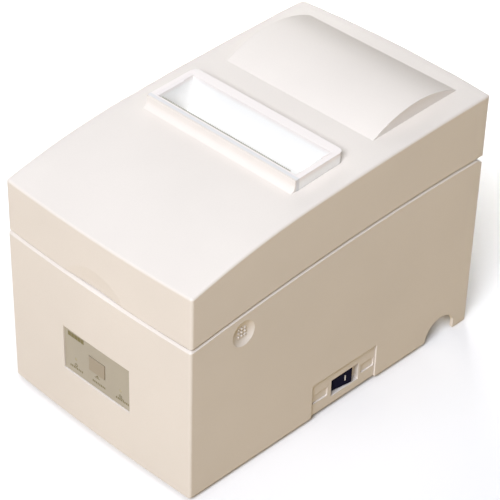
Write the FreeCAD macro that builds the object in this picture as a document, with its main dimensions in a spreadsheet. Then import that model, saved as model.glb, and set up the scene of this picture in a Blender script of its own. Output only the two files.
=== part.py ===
import FreeCAD, Part
import math
import os
import re

import Sketcher

# A desktop impact receipt printer for 76 mm paper: a two-piece plastic case whose lid is hinged at the
# rear, a steel print mechanism with a shuttling dot-matrix head, and a drop-in bay for the paper roll.
# Frame: +X is the printer's left-to-right seen from the front, +Y points to the rear, +Z is up.
# The origin is the centre of the outline on the table, under the rubber feet. All sizes are millimetres.

SIZES = {
    # Case outline in plan: straight sides, gently bowed front and rear
    "case_half": 80.0, "front_y": -127.8, "rear_y": 125.8, "front_bow": 1.9, "rear_bow": 3.9,
    "case_foot": 3.2, "leg_foot": 1.0, "wall": 2.5, "lid_wall": 2.3, "corner_round": 2.0,
    "rim_bevel": 1.4,
    # The lid's front is set back a little from the lower case's
    "lid_set_back": 0.6,
    # Parting line between case and lid: one large arc seen from the side
    "seam_radius": 1749.0, "seam_cy": 110.4, "seam_cz": -1617.0, "seam_gap": 1.3,
    # Lid top: a tight arc over the front half runs into a flat arc over the rear half
    "nose_radius": 507.0, "nose_cy": 7.3, "nose_cz": -336.5, "crest_y": -33.2,
    "back_radius": 2715.9, "back_cy": 183.7, "back_cz": -2538.2,
    # Roll bulge on the lid: a cylinder segment with flat ends
    "bulge_radius": 81.1, "bulge_cy": 79.3, "bulge_cz": 103.8, "bulge_half": 62.2,
    # Finger scoop in the lid's front lower edge: a shallow cone
    "scoop_radius": 38.1, "scoop_cz": 90.9, "scoop_slope": 0.09, "scoop_deep": 1.4,
    # Hinge of the lid
    "hinge_y": 121.0, "hinge_z": 141.0, "hinge_pin_r": 1.75, "knuckle_in": 65.5, "knuckle_out": 71.0,
    "wedge_y": 117.0, "wedge_slope": 0.6,
    # Paper window: a raised frame with a deep trough
    "window_half": 63.0, "window_front": -29.2, "window_rear": 12.2, "window_front_z": 177.2,
    "window_rear_z": 179.5, "curb": 1.0, "window_floor": 150.0, "window_corner": 4.5,
    "trough_half": 58.2, "trough_front": -24.8, "trough_rear": 5.4, "trough_bend": 10.0,
    "trough_bend_z": 165.0, "slot_rear": -19.0, "tear_thick": 0.8, "tear_half": 54.0,
    "fit_gap": 0.25,
    # Front panel
    "panel_half": 29.5, "panel_low": 39.2, "panel_high": 72.0, "panel_depth_y": -128.3,
    "label_thick": 0.35, "button_x": 0.0, "button_half": 7.0, "button_low": 50.8, "button_high": 61.4,
    "lens_left": -19.3, "lens_right": 20.8, "lens_z": 51.0, "lens_r": 1.1,
    # Thumb dimples on both sides
    "dimple_y": -85.6, "dimple_z": 105.9, "dimple_r": 9.1, "dimple_deep": 2.4, "dot_pitch": 2.6,
    "dot_r": 0.75,
    # Switch plate on the right side
    "plate_front": -23.3, "plate_rear": 35.5, "plate_top": 29.0, "plate_recess": 1.2,
    "well_front": -4.8, "well_rear": 20.3, "well_low": 9.3, "well_high": 22.2, "well_floor": 75.3,
    "rocker_x": 72.2, "rocker_y": 6.6, "rocker_z": 16.0, "rocker_half": 8.2, "rocker_tall": 11.0,
    # Cable bay and its connector plate
    "bay_front": 82.0, "bay_top": 44.0, "notch_front": 84.0, "notch_rear": 112.4, "notch_wall": 7.2,
    "notch_radius": 14.7,
    "rear_open_half": 62.0,
    # Floor plate, feet and posts
    "floor_low": 3.8, "floor_thick": 1.5, "foot_r": 6.5, "post_x": 73.5, "post_front": -112.0,
    "post_rear": 62.0, "screw_r": 1.45, "screw_head_r": 2.8, "screw_head": 1.6,
    # Main board
    "board_half": 44.0, "board_front": -104.0, "board_rear": 36.0, "board_z": 16.0, "board_thick": 1.6,
    # Mechanism frame
    "mech_half": 60.0, "mech_front": -104.0, "mech_rear": 18.0, "mech_z": 46.0, "sheet": 1.5,
    "frame_top": 118.0, "mount_x": 54.0, "mount_front": -97.0, "mount_rear": -16.0,
    # Guide shafts and carriage
    "shaft_a_y": -34.0, "shaft_b_y": -64.0, "shaft_z": 82.0, "shaft_a_r": 4.0, "shaft_b_r": 3.0,
    "carriage_x": -32.0, "carriage_half": 17.0, "print_z": 106.0, "paper_y": -15.2,
    # Belt drive
    "belt_y": -80.0, "pulley_x": 44.0, "belt_z": 76.0, "pulley_r": 6.0, "belt_thick": 1.2,
    "belt_tall": 5.0,
    # Paper feed
    "feed_y": -8.0, "feed_z": 88.0, "feed_shaft_r": 3.0, "feed_roller_r": 7.0, "press_r": 4.5,
    "gear_module": 0.8, "pinion_teeth": 12, "large_teeth": 36, "small_teeth": 14, "feed_teeth": 35,
    "motor_r": 13.0, "motor_y": 2.0, "motor_z": 64.0, "stud_y": 10.41, "stud_z": 81.26,
    # Paper roll bay
    "roll_y": 69.5, "roll_z": 130.0, "tub_r": 44.5, "tub_thick": 2.0, "tub_half": 40.5,
    "tub_top": 127.0,
}

doc = FreeCAD.newDocument("receipt_printer")
sheet = doc.addObject("Spreadsheet::Sheet", "Sizes")
for row, (alias, size) in enumerate(SIZES.items(), start=1):
    sheet.set(f"A{row}", alias)
    sheet.set(f"B{row}", str(size))
    sheet.setAlias(f"B{row}", alias)
doc.recompute()

WORD = re.compile(r"[a-z_][a-z_0-9]*")
PLANE_AXES = {"XY": "XY_Plane", "XZ": "XZ_Plane", "YZ": "YZ_Plane"}
subparts = []


# ---------------------------------------------------------------- formulas on the sheet

def formula(text):
    """The same formula with every sheet alias written as a reference to the sheet."""
    return WORD.sub(lambda m: f"Sizes.{m.group()}" if m.group() in SIZES else m.group(), str(text))


def value(text):
    """What a formula comes to, in millimetres."""
    result = sheet.evalExpression(formula(text))
    return float(getattr(result, "Value", result))


def seam(y):
    """Height of the parting line at y."""
    return f"(seam_cz + sqrt(seam_radius^2 - ({y} - seam_cy)^2))"


def nose_top(y):
    """Height of the lid's outer face at y, ahead of the crest."""
    return f"(nose_cz + sqrt(nose_radius^2 - ({y} - nose_cy)^2))"


def back_top(y):
    """Height of the lid's outer face at y, behind the crest."""
    return f"(back_cz + sqrt(back_radius^2 - ({y} - back_cy)^2))"


def bulge_top(y):
    """Height of the roll bulge's outer face at y."""
    return f"(bulge_cz + sqrt(bulge_radius^2 - ({y} - bulge_cy)^2))"


def window_top(y):
    """Height of the window frame's sloping top at y."""
    rise = "(window_rear_z - window_front_z) / (window_rear - window_front)"
    return f"(window_front_z + ({y} - window_front) * {rise})"


# ---------------------------------------------------------------- sketches

def bind(sketch, kind, *arguments):
    """A dimension of the sketch that follows a formula; the formula is the last argument."""
    *references, text = arguments
    index = sketch.addConstraint(Sketcher.Constraint(kind, *references, value(text)))
    sketch.setExpression(f"Constraints[{index}]", formula(text))


def outline(sketch, vertices):
    """A closed outline. A vertex is (x, y) or (x, y, radius): with a radius, the edge that starts
    there is an arc, turning left when the radius is positive and right when it is negative."""
    corners = [(value(v[0]), value(v[1])) for v in vertices]
    edges = []
    for i, vertex in enumerate(vertices):
        x0, y0 = corners[i]
        x1, y1 = corners[(i + 1) % len(corners)]
        if len(vertex) == 2:
            line = Part.LineSegment(FreeCAD.Vector(x0, y0), FreeCAD.Vector(x1, y1))
            edges.append((sketch.addGeometry(line), 1, 2))
            continue
        radius = value(vertex[2])
        chord = math.hypot(x1 - x0, y1 - y0)
        rise = math.sqrt(max(radius ** 2 - chord ** 2 / 4, 0.0)) * math.copysign(1, radius)
        cx = (x0 + x1) / 2 - (y1 - y0) / chord * rise
        cy = (y0 + y1) / 2 + (x1 - x0) / chord * rise
        circle = Part.Circle(FreeCAD.Vector(cx, cy), FreeCAD.Vector(0, 0, 1), abs(radius))
        start = math.atan2(y0 - cy, x0 - cx)
        end = math.atan2(y1 - cy, x1 - cx)
        if radius > 0:
            edges.append((sketch.addGeometry(Part.ArcOfCircle(circle, start, end)), 1, 2))
        else:
            edges.append((sketch.addGeometry(Part.ArcOfCircle(circle, end, start)), 2, 1))
    for i, (geometry, first, last) in enumerate(edges):
        following, following_first, _ = edges[(i + 1) % len(edges)]
        sketch.addConstraint(Sketcher.Constraint("Coincident", geometry, last, following, following_first))
    for vertex, (geometry, first, _) in zip(vertices, edges):
        bind(sketch, "DistanceX", -1, 1, geometry, first, vertex[0])
        bind(sketch, "DistanceY", -1, 1, geometry, first, vertex[1])
        if len(vertex) == 3:
            bind(sketch, "Radius", geometry, f"abs({vertex[2]})")


def rectangle(sketch, left, right, low, high):
    """A closed rectangle between four formulas."""
    outline(sketch, [(left, low), (right, low), (right, high), (left, high)])


def circle(sketch, x, y, radius):
    """A circle placed and sized by formulas."""
    centre = FreeCAD.Vector(value(x), value(y))
    geometry = sketch.addGeometry(Part.Circle(centre, FreeCAD.Vector(0, 0, 1), value(radius)))
    bind(sketch, "DistanceX", -1, 1, geometry, 3, x)
    bind(sketch, "DistanceY", -1, 1, geometry, 3, y)
    bind(sketch, "Radius", geometry, radius)


# ---------------------------------------------------------------- bodies and features

def new_body(label):
    """An empty sub-part."""
    body = doc.addObject("PartDesign::Body", label)
    body.Label = label
    body.AllowCompound = True
    subparts.append(body)
    return body


def new_sketch(body, plane, distance, rise=None):
    """An empty sketch on one of the body's own origin planes, a distance along its normal."""
    sketch = body.newObject("Sketcher::SketchObject", f"{body.Name}_sketch")
    origin_plane = [o for o in body.Origin.OriginFeatures if o.Role == PLANE_AXES[plane]][0]
    sketch.AttachmentSupport = [(origin_plane, "")]
    sketch.MapMode = "FlatFace"
    sketch.setExpression("AttachmentOffset.Base.z", formula(distance))
    if rise is not None:
        sketch.setExpression("AttachmentOffset.Base.y", formula(rise))
    return sketch


def extrude(body, plane, low, high, draw, cut=False):
    """Adds, or cuts, what draw() sketches on the plane between two heights along its axis.
    The sketch axes are X, Y on XY; X, Z on XZ; and Y, Z on YZ."""
    backwards = plane == "XZ"
    at_high = cut != backwards
    distance = high if at_high else low
    sketch = new_sketch(body, plane, f"-({distance})" if backwards else distance)
    draw(sketch)
    before = 0.0 if body.Tip is None else body.Shape.Volume
    feature = body.newObject("PartDesign::Pocket" if cut else "PartDesign::Pad", f"{body.Name}_step")
    feature.Profile = sketch
    feature.setExpression("Length", formula(f"({high}) - ({low})"))
    if not cut:
        feature.Refine = True
    doc.recompute()
    after = body.Shape.Volume
    if cut and after >= before - 1e-6:
        raise ValueError(f"{body.Label}: a cut on {plane} between {low} and {high} removed nothing")
    if not cut and after <= before + 1e-6:
        raise ValueError(f"{body.Label}: a pad on {plane} between {low} and {high} added nothing")
    return feature


def box(body, left, right, front, rear, low, high, cut=False):
    """A rectangular block between six formulas, added or cut."""
    return extrude(body, "XY", low, high, lambda s: rectangle(s, left, right, front, rear), cut)


def rods(body, plane, low, high, places, radius, cut=False):
    """Equal round rods, or holes, side by side along a plane's axis."""
    def draw(sketch):
        for x, y in places:
            circle(sketch, x, y, radius)
    return extrude(body, plane, low, high, draw, cut)


def edges_where(shape, test):
    """Names of the edges whose bounding box passes a test."""
    return [f"Edge{i}" for i, edge in enumerate(shape.Edges, start=1) if test(edge.BoundBox)]


def soften(body, kind, size, test):
    """A fillet or chamfer on the edges that pass a test."""
    base = body.Tip
    feature = body.newObject(f"PartDesign::{kind}", f"{body.Name}_{kind.lower()}")
    feature.Base = (base, edges_where(base.Shape, test))
    feature.setExpression("Radius" if kind == "Fillet" else "Size", formula(size))
    doc.recompute()
    return feature


def revolve(body, plane, distance, rise, vertices, cut=False):
    """A turned shape about the sketch's horizontal axis; vertices are (along, out) pairs."""
    sketch = new_sketch(body, plane, distance, rise)
    outline(sketch, vertices)
    before = 0.0 if body.Tip is None else body.Shape.Volume
    kind = "PartDesign::Groove" if cut else "PartDesign::Revolution"
    feature = body.newObject(kind, f"{body.Name}_turn")
    feature.Profile = sketch
    feature.ReferenceAxis = (sketch, ["H_Axis"])
    feature.Angle = 360.0
    doc.recompute()
    if cut and body.Shape.Volume >= before - 1e-6:
        raise ValueError(f"{body.Label}: a groove removed nothing")
    return feature


def place(body, x, y, z, turn=0.0, axis=(1, 0, 0)):
    """Moves a sub-part that was drawn about its own axis to where it belongs."""
    body.Placement = FreeCAD.Placement(FreeCAD.Vector(0, 0, 0), FreeCAD.Rotation(FreeCAD.Vector(*axis), turn))
    for name, text in zip("xyz", (x, y, z)):
        body.setExpression(f"Placement.Base.{name}", formula(text))


def trim_to_plan(body, low, high, set_back="0"):
    """Cuts a solid back to the case's outline in plan, straight at the sides and bowed at the front
    and rear, with the front set back by a formula."""
    bow_radius = "(case_half^2 + {0}^2) / (2 * {0})"

    def draw(sketch):
        rectangle(sketch, "-case_half - 20", "case_half + 20", "front_y - 20", "rear_y + 20")
        outline(sketch, [
            ("-case_half", f"front_y + {set_back}", bow_radius.format("front_bow")),
            ("case_half", f"front_y + {set_back}"),
            ("case_half", "rear_y", bow_radius.format("rear_bow")),
            ("-case_half", "rear_y"),
        ])
    extrude(body, "XY", low, high, draw, cut=True)


def is_vertical_corner(bounds):
    """An upright edge at one of the four corners of the case."""
    upright = bounds.ZLength > 20 and bounds.XLength < 0.1 and bounds.YLength < 0.1
    return upright and abs(abs(bounds.XMin) - value("case_half")) < 0.1


# ---------------------------------------------------------------- case

def make_lower_case():
    body = new_body("lower_case")
    gap = "seam_gap / 2"
    # The legs behind the cable notches reach lower than the rest of the case
    extrude(body, "YZ", "-case_half", "case_half", lambda s: outline(s, [
        ("front_y - 4", "case_foot"),
        ("notch_front + 4", "case_foot"),
        ("notch_front + 4", "leg_foot"),
        ("rear_y + 6", "leg_foot"),
        ("rear_y + 6", f"{seam('rear_y + 6')} - {gap}", "seam_radius"),
        ("front_y - 4", f"{seam('front_y - 4')} - {gap}"),
    ]))
    trim_to_plan(body, "0", "150")
    soften(body, "Fillet", "corner_round", is_vertical_corner)
    # The rim slopes away behind the hinge, which leaves room for the lid's lower rear corner
    extrude(body, "YZ", "-case_half - 1", "case_half + 1", lambda s: outline(s, [
        ("wedge_y", seam("wedge_y")),
        ("rear_y + 8", f"{seam('wedge_y')} - (rear_y + 8 - wedge_y) * wedge_slope"),
        ("rear_y + 8", "150"),
        ("wedge_y", "150"),
    ]), cut=True)
    soften(body, "Chamfer", "rim_bevel", lambda b: b.ZMin > 110 and b.YMin < -100)
    # Inside of the walls
    box(body, "-case_half + wall", "case_half - wall", "front_y + wall", "rear_y - wall", "0", "150",
        cut=True)
    # Corner posts for the floor plate's screws
    for side in ("-", ""):
        outer = "case_half - wall / 2"
        inner = "post_x - 4"
        for y in ("post_front", "post_rear"):
            low_x, high_x = (f"-({outer})", f"-({inner})") if side else (inner, outer)
            box(body, low_x, high_x, f"{y} - 4", f"{y} + 4", "floor_low + floor_thick + 0.05", "34")
    rods(body, "XY", "0", "26", [(f"{side}post_x", y) for side in ("-", "") for y in
                                 ("post_front", "post_rear")], "screw_r + 0.05", cut=True)
    # Panel recess in the front wall, with the button's and the lenses' holes
    extrude(body, "XZ", "front_y - 4", "panel_depth_y", lambda s: rectangle(
        s, "-panel_half", "panel_half", "panel_low", "panel_high"), cut=True)
    extrude(body, "XZ", "front_y - 4", "front_y + 4", lambda s: rectangle(
        s, "button_x - button_half - 0.3", "button_x + button_half + 0.3", "button_low - 0.3",
        "button_high + 0.3"), cut=True)
    rods(body, "XZ", "front_y - 4", "front_y + 4",
         [("lens_left", "lens_z"), ("lens_right", "lens_z")], "lens_r + 0.1", cut=True)
    # Bosses for the panel board
    rods(body, "XZ", "front_y + 1", "-119.0", [("-26", "67"), ("26", "67")], "2.8")
    rods(body, "XZ", "-125.0", "-118.0", [("-26", "67"), ("26", "67")], "screw_r + 0.05", cut=True)
    # Thumb dimple with its nine raised dots, on each side
    dots = [(f"dimple_y + dot_pitch * {i}", f"dimple_z + dot_pitch * {j}")
            for i in (-1, 0, 1) for j in (-1, 0, 1)]
    ball = "((dimple_r^2 + dimple_deep^2) / (2 * dimple_deep))"
    for low, high in (("case_half - wall - 2.2", "case_half - wall + 0.5"),
                      ("-case_half + wall - 0.5", "-case_half + wall + 2.2")):
        rods(body, "YZ", low, high, [("dimple_y", "dimple_z")], "dimple_r + 2")
    for side in ("", "-"):
        ball_x = f"({side}(case_half - dimple_deep + {ball}))"
        sketch = new_sketch(body, "XZ", "-dimple_y", "dimple_z")
        left, right = (f"{ball_x} - {ball}", f"{ball_x} + {ball}")
        outline(sketch, [(left, "0"), (right, "0", f"{ball} + 0.001")])
        groove = body.newObject("PartDesign::Groove", "thumb_dimple")
        groove.Profile = sketch
        groove.ReferenceAxis = (sketch, ["H_Axis"])
        groove.Angle = 360.0
        doc.recompute()
    rods(body, "YZ", "case_half - wall - 0.5", "case_half - 1.2", dots, "dot_r")
    rods(body, "YZ", "-case_half + 1.2", "-case_half + wall + 0.5", dots, "dot_r")
    # Cut-out for the switch plate, on the right only
    extrude(body, "YZ", "case_half - wall - 1", "case_half + 1", lambda s: rectangle(
        s, "plate_front", "plate_rear", "0", "plate_top"), cut=True)
    # Cable notches low in both sides, and the open cable bay at the rear
    for low, high in (("-case_half - 1", "-case_half + wall + 1"), ("case_half - wall - 1", "case_half + 1")):
        extrude(body, "YZ", low, high, lambda s: outline(s, [
            ("notch_front", "0"),
            ("notch_rear", "0"),
            ("notch_rear", "notch_wall", "notch_radius"),
            ("notch_front", "case_foot"),
        ]), cut=True)
    extrude(body, "XZ", "rear_y - wall - 1", "rear_y + 8", lambda s: rectangle(
        s, "-rear_open_half", "rear_open_half", "0", "bay_top"), cut=True)
    # Hinge knuckles that rise from the rear wall into the lid
    for low, high in (("-knuckle_out", "-knuckle_in"), ("knuckle_in", "knuckle_out")):
        extrude(body, "YZ", low, high, lambda s: outline(s, [
            ("hinge_y - 4.4", "108"),
            ("rear_y - 0.6", "100"),
            ("rear_y - 0.6", "hinge_z"),
            ("rear_y - 1.4", "hinge_z + 4.2"),
            ("hinge_y - 4.4", "hinge_z + 4.2"),
        ]))
    for low, high in (("-knuckle_out - 1", "-knuckle_in + 1"), ("knuckle_in - 1", "knuckle_out + 1")):
        rods(body, "YZ", low, high, [("hinge_y", "hinge_z")], "hinge_pin_r + 0.02", cut=True)
    return body


def make_top_cover():
    body = new_body("top_cover")
    gap = "seam_gap / 2"
    top = [
        ("rear_y + 6", f"{seam('rear_y + 6')} + {gap}"),
        ("rear_y + 6", back_top("rear_y + 6"), "back_radius"),
        ("crest_y", back_top("crest_y"), "nose_radius"),
        ("front_y - 4", nose_top("front_y - 4")),
        ("front_y - 4", f"{seam('front_y - 4')} + {gap}", "-seam_radius"),
    ]
    extrude(body, "YZ", "-case_half", "case_half", lambda s: outline(s, top))
    trim_to_plan(body, "90", "200", "lid_set_back")
    soften(body, "Fillet", "corner_round", is_vertical_corner)
    soften(body, "Fillet", "corner_round - 0.3", lambda b: b.ZMin > 145)
    # Roll bulge
    bulge_front = "bulge_cy - 41"
    bulge_rear = "bulge_cy + 34.6"
    extrude(body, "YZ", "-bulge_half", "bulge_half", lambda s: outline(s, [
        (bulge_front, "165"),
        (bulge_rear, "165"),
        (bulge_rear, bulge_top(bulge_rear), "bulge_radius"),
        (bulge_front, bulge_top(bulge_front)),
    ]))
    # Curb ahead of the paper window, with a hollow foot that blends into the top
    foot = "window_front - 4"
    extrude(body, "YZ", "-window_half", "window_half", lambda s: outline(s, [
        (foot, f"{nose_top(foot)} - 1"),
        ("window_front + curb", "167"),
        ("window_front + curb", window_top("window_front + curb")),
        ("window_front + 0.2", window_top("window_front + 0.2")),
        ("window_front", "window_front_z - 4.2", "-5"),
        (foot, nose_top(foot)),
    ]))
    # Inside of the shell, following the top
    inner_rear = "rear_y - lid_wall"
    inner_front = "front_y + lid_set_back + lid_wall"
    thick = "lid_wall"
    extrude(body, "YZ", "-case_half + lid_wall", "case_half - lid_wall", lambda s: outline(s, [
        (inner_rear, "100"),
        (inner_rear, f"back_cz + sqrt((back_radius - {thick})^2 - ({inner_rear} - back_cy)^2)",
         "back_radius - lid_wall"),
        ("crest_y", f"back_cz + sqrt((back_radius - {thick})^2 - (crest_y - back_cy)^2)",
         "nose_radius - lid_wall"),
        (inner_front, f"nose_cz + sqrt((nose_radius - {thick})^2 - ({inner_front} - nose_cy)^2)"),
        (inner_front, "100"),
    ]), cut=True)
    reach = "37.0"
    bulge_inside = f"bulge_cz + sqrt((bulge_radius - lid_wall)^2 - {reach}^2)"
    extrude(body, "YZ", "-bulge_half + lid_wall", "bulge_half - lid_wall", lambda s: outline(s, [
        (f"bulge_cy - {reach}", "160"),
        (f"bulge_cy + {reach} - 5", "160"),
        (f"bulge_cy + {reach} - 5", f"bulge_cz + sqrt((bulge_radius - lid_wall)^2 - ({reach} - 5)^2)",
         "bulge_radius - lid_wall"),
        (f"bulge_cy - {reach}", bulge_inside),
    ]), cut=True)
    # Opening for the window frame, with rounded rear corners
    half = "window_half + fit_gap"
    rear = "window_rear + fit_gap"
    round_r = "window_corner + fit_gap"
    extrude(body, "XY", "155", "200", lambda s: outline(s, [
        (f"-({half})", "window_front + curb"),
        (half, "window_front + curb"),
        (half, f"{rear} - ({round_r})", round_r),
        (f"{half} - ({round_r})", rear),
        (f"-({half}) + ({round_r})", rear, round_r),
        (f"-({half})", f"{rear} - ({round_r})"),
    ]), cut=True)
    # Finger scoop
    face = "front_y - front_bow + lid_set_back"
    revolve(body, "YZ", "0", "scoop_cz", [
        (f"{face} - 0.5", "0"),
        (f"{face} + scoop_deep", "0"),
        (f"{face} + scoop_deep", "scoop_radius - scoop_deep / scoop_slope"),
        (f"{face} - 0.5", "scoop_radius + 0.5 / scoop_slope"),
    ], cut=True)
    # Slots in the rear wall for the knuckles, and the lid's own hinge ears beside them
    for low, high in (("-knuckle_out - 0.4", "-knuckle_in + 0.4"), ("knuckle_in - 0.4", "knuckle_out + 0.4")):
        box(body, low, high, "hinge_y - 7", "rear_y + 8", "120", "hinge_z + 8", cut=True)
    ears = (("-knuckle_out - 3.6", "-knuckle_out - 0.4"), ("-knuckle_in + 0.4", "-knuckle_in + 3.6"),
            ("knuckle_in - 3.6", "knuckle_in - 0.4"), ("knuckle_out + 0.4", "knuckle_out + 3.6"))
    for low, high in ears:
        extrude(body, "YZ", low, high, lambda s: outline(s, [
            ("hinge_y - 4.4", "hinge_z - 3"),
            ("hinge_y - 3", "hinge_z - 4.4"),
            ("rear_y - 1", "hinge_z - 4.4"),
            ("rear_y - 1", "hinge_z + 12"),
            ("hinge_y - 4.4", "hinge_z + 4"),
        ]))
    rods(body, "YZ", "-knuckle_out - 5", "-knuckle_in + 5", [("hinge_y", "hinge_z")],
         "hinge_pin_r + 0.05", cut=True)
    rods(body, "YZ", "knuckle_in - 5", "knuckle_out + 5", [("hinge_y", "hinge_z")],
         "hinge_pin_r + 0.05", cut=True)
    return body


def make_window_insert():
    body = new_body("window_insert")
    front = "window_front + curb + 0.05"
    extrude(body, "YZ", "-window_half", "window_half", lambda s: outline(s, [
        (front, "window_floor"),
        ("window_rear", "window_floor"),
        ("window_rear", "window_rear_z"),
        (front, window_top(front)),
    ]))
    soften(body, "Fillet", "window_corner", lambda b: b.ZLength > 20 and b.YLength < 0.1
           and b.XLength < 0.1 and b.YMin > 0)
    # Trough: steep rear wall that bends forward into a sloping floor, and the paper slot at the front
    extrude(body, "YZ", "-trough_half", "trough_half", lambda s: outline(s, [
        ("trough_front", "140"),
        ("slot_rear", "140"),
        ("slot_rear", "trough_bend_z - trough_bend - 2"),
        ("trough_rear - trough_bend", "trough_bend_z - trough_bend", "trough_bend"),
        ("trough_rear", "trough_bend_z"),
        ("trough_rear", "200"),
        ("trough_front", "200"),
    ]), cut=True)
    # The skirt below the lid's skin is thinned from outside, so that it clears the shell
    for low, high in (("-window_half - 1", "-window_half + 2"), ("window_half - 2", "window_half + 1")):
        box(body, low, high, "window_front - 1", "window_rear + 1", "140", "162", cut=True)
    box(body, "-window_half - 1", "window_half + 1", "trough_rear + 2.5", "window_rear + 1", "140", "160",
        cut=True)
    # Facets that widen towards the front on the inner edge of both side rims
    for side in ("", "-"):
        profiles = []
        for y, wide, deep in (("trough_front - 0.1", "5.0", "2.4"), ("trough_rear + 0.1", "0.4", "0.3")):
            sketch = new_sketch(body, "XZ", f"-({y})")
            top = window_top(y)
            across = [f"{side}(trough_half + 1.6)", f"{side}(trough_half - {wide} + 1.6)"]
            outline(sketch, [
                (across[0], f"{top} + 0.05"),
                (across[0], f"{top} + 3"),
                (across[1], f"{top} + 3"),
                (across[1], f"{top} - {deep}"),
            ])
            profiles.append(sketch)
        loft = body.newObject("PartDesign::SubtractiveLoft", "rim_facet")
        loft.Profile = profiles[0]
        loft.Sections = [profiles[1]]
        loft.Ruled = True
        doc.recompute()
    return body


def make_tear_bar():
    body = new_body("tear_bar")
    y_low, y_high = "trough_front", "trough_front + tear_thick"
    top = f"{window_top('trough_front')} + 0.5"
    extrude(body, "XZ", y_low, y_high, lambda s: rectangle(s, "-tear_half", "tear_half", "163", top))
    tooth = [
        ("-tear_half + 0.4", f"{top} + 0.1"),
        ("-tear_half + 1.1", f"{top} - 0.9"),
        ("-tear_half + 1.8", f"{top} + 0.1"),
    ]
    notch = extrude(body, "XZ", "trough_front - 0.5", "trough_front + tear_thick + 0.5",
                    lambda s: outline(s, tooth), cut=True)
    pattern = body.newObject("PartDesign::LinearPattern", "tear_teeth")
    pattern.Originals = [notch]
    x_axis = [o for o in body.Origin.OriginFeatures if o.Role == "X_Axis"][0]
    pattern.Direction = (x_axis, [""])
    pattern.setExpression("Length", formula("2 * tear_half - 2.2"))
    pattern.Occurrences = 73
    body.Tip = pattern
    doc.recompute()
    return body


# ---------------------------------------------------------------- floor, feet and front panel

SIDES = ("-", "")


def four(x, fronts):
    """Four places: both signs of x at each of two y formulas."""
    return [(f"{side}({x})", y) for side in SIDES for y in fronts]


BOARD_MOUNTS = four("board_half - 5", ("board_front + 5", "board_rear - 16"))
MECHANISM_MOUNTS = four("mount_x", ("mount_front", "mount_rear"))
FEET = four("post_x - 8", ("post_front + 14", "post_rear - 14"))


def make_floor_plate():
    body = new_body("floor_plate")
    top = "floor_low + floor_thick"
    box(body, "-case_half + wall + 0.5", "case_half - wall - 0.5", "front_y + wall + 0.5",
        "bay_front - 1.5", "floor_low", top)
    box(body, "case_half - wall - 3.5", "case_half", "plate_front - 1", "plate_rear + 1", "0", "10", cut=True)
    rods(body, "XY", "0", "10", four("post_x", ("post_front", "post_rear")), "screw_r + 0.05", cut=True)
    rods(body, "XY", "0", "10", FEET, "2.05", cut=True)
    for i in range(5):
        box(body, "-30", "30", f"-60 + {i} * 9", f"-56 + {i} * 9", "0", "10", cut=True)
    return body


def make_rubber_feet():
    body = new_body("rubber_feet")
    rods(body, "XY", "0", "floor_low", FEET, "foot_r")
    soften(body, "Fillet", "0.8", lambda b: b.ZMax < 0.1 and b.XLength > 10)
    rods(body, "XY", "floor_low", "floor_low + floor_thick + 0.8", FEET, "2.0")
    return body


def add_screws(body, plane, places, seat, length, head_r, points_up):
    """Cross-slotted pan-head screws: a head on the face at seat, and a shank that runs on from it,
    up the plane's axis when points_up is true and down it otherwise."""
    way = "" if points_up else "-"
    ends = {reach: f"{seat} + {way}({reach})" for reach in ("-screw_head", "0", length)}
    head, face, tip = ends.values()
    slot = (f"{head} - 0.1", f"{head} + 0.7") if points_up else (f"{head} - 0.7", f"{head} + 0.1")
    rods(body, plane, *sorted((head, face), key=value), places, head_r)
    rods(body, plane, *sorted((face, tip), key=value), places, "screw_r")

    def cross(sketch):
        for x, y in places:
            outline(sketch, [
                (f"{x} - 1.6", f"{y} - 0.35"), (f"{x} - 0.35", f"{y} - 0.35"), (f"{x} - 0.35", f"{y} - 1.6"),
                (f"{x} + 0.35", f"{y} - 1.6"), (f"{x} + 0.35", f"{y} - 0.35"), (f"{x} + 1.6", f"{y} - 0.35"),
                (f"{x} + 1.6", f"{y} + 0.35"), (f"{x} + 0.35", f"{y} + 0.35"), (f"{x} + 0.35", f"{y} + 1.6"),
                (f"{x} - 0.35", f"{y} + 1.6"), (f"{x} - 0.35", f"{y} + 0.35"), (f"{x} - 1.6", f"{y} + 0.35")])
    extrude(body, plane, *slot, cross, cut=True)


def make_case_screws():
    body = new_body("case_screws")
    places = four("post_x", ("post_front", "post_rear"))
    add_screws(body, "XY", places, "floor_low", "12", "screw_head_r", True)
    return body


def make_m3_screws():
    """The short screws that hold the main board, the connector and the panel board."""
    body = new_body("m3_screws")
    add_screws(body, "XY", BOARD_MOUNTS, "board_z + board_thick", "6", "screw_head_r", False)
    add_screws(body, "XZ", [("-40", "20"), ("40", "20")], "bay_front + 1.2", "6", "screw_head_r", False)
    add_screws(body, "XZ", [("-26", "67"), ("26", "67")], "-117.3", "6", "screw_head_r", False)
    return body


def make_mechanism_screws():
    body = new_body("mechanism_screws")
    add_screws(body, "XY", MECHANISM_MOUNTS, "mech_z + sheet + 1.8", "12", "4.2", False)
    return body


def make_panel_label():
    body = new_body("panel_label")
    extrude(body, "XZ", "panel_depth_y - label_thick", "panel_depth_y", lambda s: rectangle(
        s, "-panel_half + 0.3", "panel_half - 0.3", "panel_low + 0.3", "panel_high - 0.3"))
    extrude(body, "XZ", "panel_depth_y - 2", "panel_depth_y + 2", lambda s: rectangle(
        s, "button_x - button_half - 0.3", "button_x + button_half + 0.3", "button_low - 0.3",
        "button_high + 0.3"), cut=True)
    rods(body, "XZ", "panel_depth_y - 2", "panel_depth_y + 2",
         [("lens_left", "lens_z"), ("lens_right", "lens_z")], "lens_r + 0.05", cut=True)
    return body


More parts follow.
